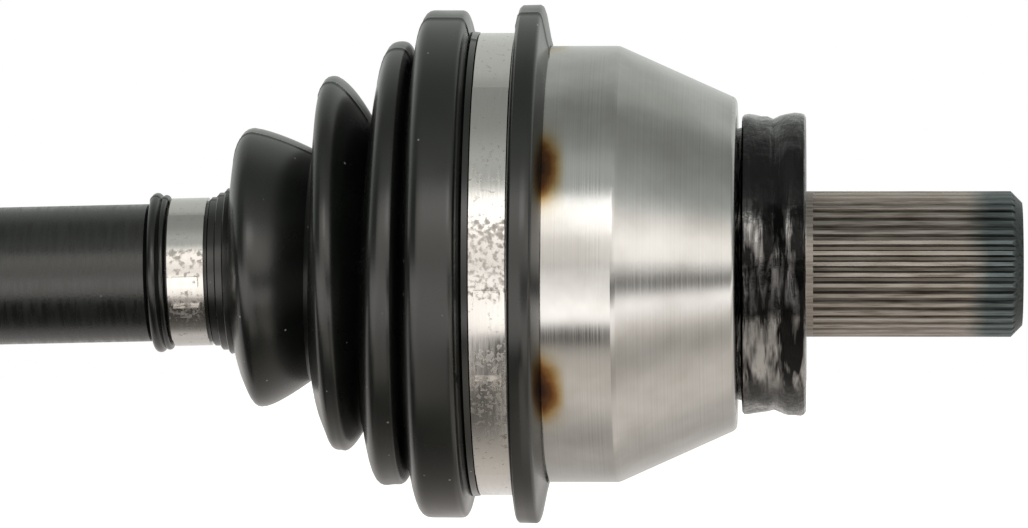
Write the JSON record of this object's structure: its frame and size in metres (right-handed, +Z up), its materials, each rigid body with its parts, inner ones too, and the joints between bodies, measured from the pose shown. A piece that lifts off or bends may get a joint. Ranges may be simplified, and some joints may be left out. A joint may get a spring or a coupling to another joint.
{
  "type": "drive shaft",
  "caption": "Car drive shaft with a booted ball joint and splined stub at the wheel end and a booted plunging tripod joint at the gearbox end.",
  "frame": {"origin": "centre of the hub shoulder face of the wheel stub, on the stub's axis", "axes": "+X along the stub's axis, out of the wheel end; +Z up; the bar runs towards -X, 1.25 degrees below the axis"},
  "size_m": [0.5877, 0.1152, 0.1152],
  "materials": {
    "turned_steel": "fine turned",
    "black_paint": "satin",
    "greased_rubber": "wet with grease",
    "boot_rubber": "semi-matt moulded",
    "clamp_steel": "rolled strip",
    "spring_steel": "oiled",
    "bearing_steel": "ground",
    "forged_steel": "hardened"
  },
  "bodies": {
    "shaft": {"shaft_bar": "black_paint", "inner_race": "forged_steel", "race_circlip": "spring_steel", "wheel_boot_small_clamp": "clamp_steel", "spider": "forged_steel", "spider_circlip": "spring_steel", "gearbox_boot_small_clamp": "clamp_steel"},
    "bell": {"wheel_bell": "turned_steel", "seal_ring": "greased_rubber", "wheel_boot": "boot_rubber", "wheel_boot_large_clamp": "clamp_steel"},
    "cage": {"ball_cage": "forged_steel", "ball_1": "bearing_steel", "ball_2": "bearing_steel", "ball_3": "bearing_steel", "ball_4": "bearing_steel", "ball_5": "bearing_steel", "ball_6": "bearing_steel"},
    "cassette_1": {"roller_ring_1": "bearing_steel", "needles_1": "bearing_steel"},
    "cassette_2": {"roller_ring_2": "bearing_steel", "needles_2": "bearing_steel"},
    "cassette_3": {"roller_ring_3": "bearing_steel", "needles_3": "bearing_steel"},
    "roller_1": {"roller_1": "bearing_steel"},
    "roller_2": {"roller_2": "bearing_steel"},
    "roller_3": {"roller_3": "bearing_steel"},
    "tulip": {"tulip": "turned_steel", "gearbox_boot": "boot_rubber", "gearbox_boot_large_clamp": "clamp_steel", "stub_snap_ring": "spring_steel"}
  },
  "joints": [
    {"name": "outer_tilt", "type": "hinge", "parent": "shaft", "child": "bell", "pos_m": [-0.057, 0, 0], "axis": [0, 1, 0], "range_deg": [-46.25, 43.75], "deforming": ["wheel_boot"]},
    {"name": "cage_tilt", "type": "hinge", "parent": "shaft", "child": "cage", "pos_m": [-0.057, 0, 0], "axis": [0, 1, 0], "range_deg": [-23.2, 22]},
    {"name": "inner_tilt", "type": "hinge", "parent": "shaft", "child": "cassette_1", "pos_m": [-0.41691, 0, -0.00785], "axis": [0, 1, 0], "range_deg": [-18, 18], "deforming": ["gearbox_boot"]},
    {"name": "inner_plunge", "type": "slide", "parent": "cassette_1", "child": "tulip", "axis": [-0.9998, 0, -0.0218], "range_m": [-0.018, 0.018]},
    {"name": "cassette_2_travel", "type": "slide", "parent": "cassette_1", "child": "cassette_2", "axis": [0.9998, 0, 0.0218], "range_m": [-0.007, 0.007]},
    {"name": "cassette_3_travel", "type": "slide", "parent": "cassette_1", "child": "cassette_3", "axis": [0.9998, 0, 0.0218], "range_m": [-0.007, 0.007]},
    {"name": "roller_1_roll", "type": "hinge", "parent": "cassette_1", "child": "roller_1", "pos_m": [-0.41691, 0.024, -0.00785], "axis": [0, 1, 0], "range_deg": [-65, 65]},
    {"name": "roller_2_roll", "type": "hinge", "parent": "cassette_2", "child": "roller_2", "pos_m": [-0.41737, -0.012, 0.01293], "axis": [-0.0189, -0.5, 0.8658], "range_deg": [-65, 65]},
    {"name": "roller_3_roll", "type": "hinge", "parent": "cassette_3", "child": "roller_3", "pos_m": [-0.41646, -0.012, -0.02863], "axis": [0.0189, -0.5, -0.8658], "range_deg": [-65, 65]}
  ],
  "couplings": [
    {"joint": "cage_tilt", "follows": "outer_tilt", "ratio": 0.5},
    {"joint": "cassette_2_travel", "follows": "inner_tilt", "m_per_rad": -0.020785},
    {"joint": "cassette_3_travel", "follows": "inner_tilt", "m_per_rad": 0.020785},
    {"joint": "roller_1_roll", "follows": "inner_plunge", "rad_per_m": 58.824},
    {"joint": "roller_2_roll", "follows": "inner_plunge", "rad_per_m": 58.824},
    {"joint": "roller_3_roll", "follows": "inner_plunge", "rad_per_m": 58.824}
  ]
}
